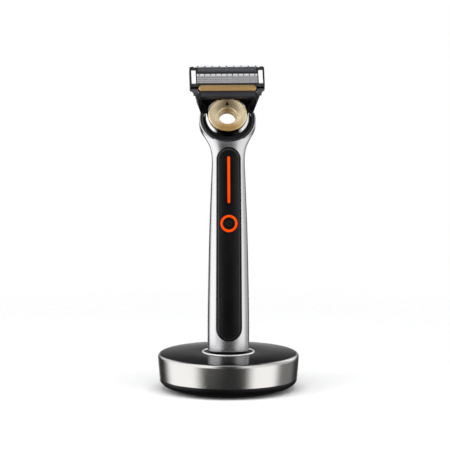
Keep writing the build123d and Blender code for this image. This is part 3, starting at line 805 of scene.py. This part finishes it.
def make_handle():
    piece("metal_shell", handle_shell(), "handle", "satin_metal", "handle_shell", angle=38)
    make_inlay()
    make_button()
    bezel = [(13.7, 1.0), (13.7, 2.35)] + arc((13.8, 2.45), (14.6, 2.28), (15.2, 1.75), 10) + [
        (15.2, 0.02), (14.5, 0.02), (14.5, 1.0)]
    for mirrored, node in ((False, "head_bezel_front"), (True, "head_bezel_rear")):
        opening = brick(-30, 30, RING_OPEN_V, 40, -5, 5, HEAD)
        ring = cut(turned(bezel, HEAD, FINE_STEPS, mirrored), opening)
        piece(node + "_ring", ring, "handle", "satin_black", node, angle=35)


# ---- head disc and eject button ---------------------------------------------------------

EYE_BORE, COVER_BACK, COVER_FACE = 8.95, 0.95, 1.5
HUB_R, HUB_LOW = 6.8, 0.02
FRONT_BORE, REAR_BORE = 5.1, 4.7
DISH_R, DISH_Z, DISH_SLOPE, DISH_CURVE = 6.05, 3.12, 0.2, 0.048


def disc_cover(mirrored):
    crest = turned(
        [(EYE_BORE, COVER_BACK), (EYE_BORE, 2.4), (9.1, 2.6), (10.9, 2.6)]
        + arc((11.15, 2.58), (12.2, 2.08), (12.88, 1.1)) + [(12.88, COVER_BACK)],
        EYE, FINE_STEPS, mirrored)
    plate = turned([(0, COVER_BACK), (13.5, COVER_BACK), (13.5, 1.35), (13.35, COVER_FACE),
                    (0, COVER_FACE)], HEAD, FINE_STEPS, mirrored)
    plate = cut(plate, brick(-20, 20, 7.0, 20, -5, 5, HEAD),
                pillar(EYE_BORE, -5, 5, EYE, FINE_STEPS))
    return crest, plate


def gold_half(mirrored, bore):
    return turned(
        [(bore, HUB_LOW), (bore, 2.2)] + arc((bore, 2.35), (bore + 0.22, 2.9), (5.85, 3.12), 8)
        + arc((DISH_R, DISH_Z), (8.2, 3.66), (10.3, 4.86), 20)
        + arc((10.42, 4.9), (10.83, 4.84), (11.0, 4.45), 6)
        + [(10.95, 4.2), (10.5, 3.6), (8.6, 2.8), (HUB_R, 2.7), (HUB_R, HUB_LOW)],
        EYE, FINE_STEPS, mirrored)


def dish_arrow():
    """Small arrow printed on the gold dish."""
    arrow = bmesh.new()
    corners = [arrow.verts.new((x * MM, y * MM, 0))
               for x, y in ((-1.05, 6.85), (1.05, 6.85), (0, 8.8))]
    face = arrow.faces.new(corners)
    for v in corners:
        past = v.co.length / MM - DISH_R
        v.co.z = (DISH_Z + past * DISH_SLOPE + past ** 2 * DISH_CURVE + 0.05) * MM
    made = bmesh.ops.extrude_face_region(arrow, geom=[face])["geom"]
    bmesh.ops.translate(arrow, vec=(0, 0, -0.25 * MM),
                        verts=[g for g in made if isinstance(g, bmesh.types.BMVert)])
    return placed(arrow, EYE)


def make_head():
    for mirrored, name, bore in ((False, "front", FRONT_BORE), (True, "rear", REAR_BORE)):
        crest, plate = disc_cover(mirrored)
        piece(f"gloss_cover_{name}", plate, "head_disc", "gloss_black", f"disc_{name}_cover",
              angle=35)
        # The gloss black lip takes the painted reflection and shade.
        piece(f"gloss_lip_{name}", crest, "head_disc", "gloss_black", angle=35,
              look="chrome_painted_reflection")
        piece(f"gold_button_{name}", gold_half(mirrored, bore), "eject_button", "gold",
              f"eject_button_{name}", angle=45)
    piece("button_arrow", dish_arrow(), "eject_button", "black_rubber")


# ---- cartridge --------------------------------------------------------------------------

TOOTH_PITCH = 3.16
BLOCK_PITCH, RAIL_HALF = 4.1, 17.9
RIB_PITCH = 0.5
# The bridge's flanks, seen from the front: where each slant begins, and two slants in degrees
# with the heights in mm between which they run.
FLANK_X, FLANK_V = 18.4, 14.86
FLANKS = ((38.5, 0, 12), (19.4, -14, 0))
BACK_V, BACK_Z, BACK_SLANT = -10.65, -2.55, -36.5


def blade_comb():
    """Thin dark fins that hold the blades apart."""
    fins = []
    for k in range(-5, 6):
        x = k * TOOTH_PITCH
        fins.append(brick(x - 0.16, x + 0.16, BLADE_TOP - 0.75, BLADE_TOP + 0.5, -1.2, 0.04, CART))
        for row in range(1, 5):
            v = BLADE_TOP - row * BLADE_PITCH
            fins.append(brick(x - 0.07, x + 0.07, v - 0.66, v - 0.1, -1.2, -0.26, CART))
    return joined(*fins)


def strip_ribs():
    """Fine ribs along the comfort strip."""
    ribs = []
    for k in range(6):
        v = 7.25 + k * RIB_PITCH
        ribs.append(brick(-16.2, 16.2, v, v + 0.22, -0.3, 0.2, CART, 0.06))
    return joined(*ribs)


def flank_cutters():
    """Two slanted cuts down each side of the bridge, in the plane that faces the viewer."""
    view = basis(RING_C, bearing_to(0, ELEVATION))
    for side in (-1, 1):
        for slant, low, high in FLANKS:
            place = view @ moved(side * FLANK_X, FLANK_V, 0) @ rotated(-side * slant, "Z")
            yield brick(min(0, side * 12), max(0, side * 12), low, high, -40, 40, place)


def rail_blocks():
    """The cap rail: one bar with a row of blocks on it."""
    blocks = [brick(max(-RAIL_HALF, k * BLOCK_PITCH - 3.72), min(RAIL_HALF, k * BLOCK_PITCH - 0.38),
                    10.5, 11.5, -1.4, -0.2, CART, 0.1) for k in range(-4, 6)]
    return joined(brick(-RAIL_HALF, RAIL_HALF, 10.4, 10.8, -1.45, -0.3, CART, 0.08), *blocks)


def rail_gaps():
    return joined(*[brick(k * BLOCK_PITCH - 0.36, k * BLOCK_PITCH + 0.36, 10.6, 11.3, -1.38, -0.24,
                          CART) for k in range(-4, 5)])


def make_cartridge():
    softened("cartridge_bridge", "cartridge_bridge", 0.22, cutters=flank_cutters(),
             look="bridge_black")
    low_back = brick(-30, 30, -3, 10, -6, 0,
                     CART @ moved(0, BACK_V, BACK_Z) @ rotated(BACK_SLANT, "X"))
    softened("cartridge_frame", "cartridge", 0.14, look="frame_black", cutters=[low_back])
    softened("guard_bar", "cartridge", 0.16)
    softened("warming_bar", "cartridge", 0.12)
    softened("comfort_strip", "cartridge", 0.14)
    for side in ("left", "right"):
        softened(f"clip_{side}", "cartridge", 0.08)
    # Every blade after the first takes the painted row shade.
    for k in range(5):
        softened(f"razor_blade_{k + 1}", "cartridge", 0.012, 2,
                 look="blade_rows_painted_shade" if k else "edge_steel")
    piece("blade_fins", blade_comb(), "cartridge", "cartridge_black")
    piece("strip_ribs", strip_ribs(), "cartridge", "strip_grey")
    piece("rail_blocks", rail_blocks(), "cartridge", SLOT_OF["cap_rail"], "cap_rail")
    piece("rail_gaps", rail_gaps(), "cartridge", "cartridge_black")


make_dock()
make_handle()
make_head()
make_cartridge()

# ---- studio -----------------------------------------------------------------------------

SOFTBOX_DISTANCE, SOFTBOX_TARGET = 1.0, (0, 0, 0.09)

# Bright panels of the studio, as gloss sees them: middle bearing from the front (right is
# plus), half width, lowest and highest angle above the horizon, softness of the sides, softness
# of the top and bottom, all in degrees, then brightness.
PANELS = [
    (-70, 55, -11, 3, 13, 2.5, 1.42),
    (-73, 48, 3, 72, 9, 2.5, 1.42),
    (50, 34, -11, 3, 13, 2.5, 0.45),
    (50, 32, 3, 72, 9, 2.5, 0.45),
    (75, 58, -11, 3, 13, 2.5, 0.65),
    (81, 60, 3, 60, 9, 2.5, 0.65),
    (-142, 20, 12, 45, 8, 8, 1.0),
    (142, 20, 12, 45, 8, 8, 1.0),
    (-88, 35, -36, -11, 13, 2.5, 1.5),
    (61, 27, -36, -11, 11, 2.5, 1.5),
    (112, 20, -36, -11, 10, 2.5, 0.20),
    (180, 16, -14, 7.5, 8, 7.5, 0.60),
    (180, 10, -14, -1, 6, 3, 0.60),
    (0, 80, 75, 90, 15, 4, 0.95),
]
STUDIO_DARK, STUDIO_FILL = 0.035, 0.42
FILL_COLOR, WHITE = (0.98, 0.99, 1.0), (1, 1, 1)
# The floor fades out between these distances from the object, in metres.
FLOOR_R, FADE_START, FADE_END = 1.2, 0.10, 0.34


def softbox(name, azimuth, elevation, width, height, watts):
    """An area light aimed at the handle. Gloss comes from the studio's panels instead."""
    data = bpy.data.lights.new(name, "AREA")
    data.shape = "RECTANGLE"
    data.size, data.size_y = width, height
    data.energy = watts
    lamp = bpy.data.objects.new(name, data)
    back = bearing_to(radians(azimuth), radians(elevation))
    lamp.matrix_world = facing(back, Vector(SOFTBOX_TARGET), SOFTBOX_DISTANCE)
    lamp.visible_glossy = False
    scene.collection.objects.link(lamp)


def make_world():
    world = bpy.data.worlds.new("studio")
    scene.world = world
    world.use_nodes = True
    world.node_tree.nodes.clear()
    w = Nodes(world.node_tree)

    def inside(value, half, soft):
        """One within half of zero, and fading to none over a soft edge."""
        made = w.node("ShaderNodeMapRange", interpolation_type="SMOOTHSTEP")
        made.inputs["From Min"].default_value = half + soft
        made.inputs["From Max"].default_value = half - soft
        w.wire(w.maths("ABSOLUTE", value), made.inputs["Value"])
        return made.outputs["Result"]

    def glow(color, strength):
        made = w.node("ShaderNodeBackground")
        made.inputs["Color"].default_value = (*color, 1)
        w.wire(strength, made.inputs["Strength"])
        return made.outputs["Background"]

    def blend(factor, a, b):
        made = w.node("ShaderNodeMixShader")
        w.link(factor, made.inputs["Fac"])
        w.link(a, made.inputs[1])
        w.link(b, made.inputs[2])
        return made.outputs["Shader"]

    split = w.node("ShaderNodeSeparateXYZ")
    w.link(w.node("ShaderNodeTexCoord").outputs["Generated"], split.inputs[0])
    x, y, z = split.outputs
    bearing = w.maths("DEGREES", w.maths("ARCTAN2", x, w.maths("MULTIPLY", y, -1.0)))
    height = w.maths("DEGREES", w.maths("ARCSINE", z))
    total = STUDIO_DARK
    for middle, half, low, high, soft, rise_soft, strength in PANELS:
        off_middle = w.maths("WRAP", w.maths("SUBTRACT", bearing, float(middle)), 180.0, -180.0)
        side = inside(off_middle, half, soft)
        off_height = w.maths("SUBTRACT", height, (low + high) / 2)
        rise = inside(off_height, (high - low) / 2, rise_soft)
        panel = w.maths("MULTIPLY", w.maths("MULTIPLY", side, rise), strength)
        total = w.maths("ADD", total, panel)

    path = w.node("ShaderNodeLightPath")
    seen = w.maths("MAXIMUM", path.outputs["Is Camera Ray"], path.outputs["Is Transmission Ray"])
    lit = blend(path.outputs["Is Glossy Ray"], glow(FILL_COLOR, STUDIO_FILL), glow(WHITE, total))
    out = w.node("ShaderNodeOutputWorld")
    w.link(blend(seen, lit, glow(WHITE, 1.0)), out.inputs["Surface"])


def make_floor():
    """Pale floor that keeps the shadow and fades out into the white behind it."""
    bm = bmesh.new()
    bmesh.ops.create_circle(bm, cap_ends=True, segments=96, radius=FLOOR_R)
    mesh = bpy.data.meshes.new("floor")
    bm.to_mesh(mesh)
    bm.free()
    floor = bpy.data.objects.new("floor", mesh)
    scene.collection.objects.link(floor)
    floor.visible_glossy = False
    f = Finish("floor_white", (0.93, 0.93, 0.93), 0.7, Specular_IOR_Level=0.2)
    away = f.node("ShaderNodeVectorMath", operation="LENGTH")
    f.link(f.coords, away.inputs[0])
    fade = f.span(away.outputs["Value"], 1, 0, FADE_START, FADE_END)
    clear = f.node("ShaderNodeBsdfTransparent")
    mix = f.node("ShaderNodeMixShader")
    f.link(fade, mix.inputs["Fac"])
    f.link(clear.outputs[0], mix.inputs[1])
    f.link(f.shader.outputs[0], mix.inputs[2])
    f.link(mix.outputs[0], f.tree.nodes["Material Output"].inputs["Surface"])
    mesh.materials.append(f.mat)


softbox("softbox_left", -70, 25, 0.5, 0.9, 5.0)
softbox("softbox_right", 60, 25, 0.5, 0.9, 4.0)
softbox("softbox_top", 0, 75, 0.9, 0.7, 7.0)
make_world()
make_floor()
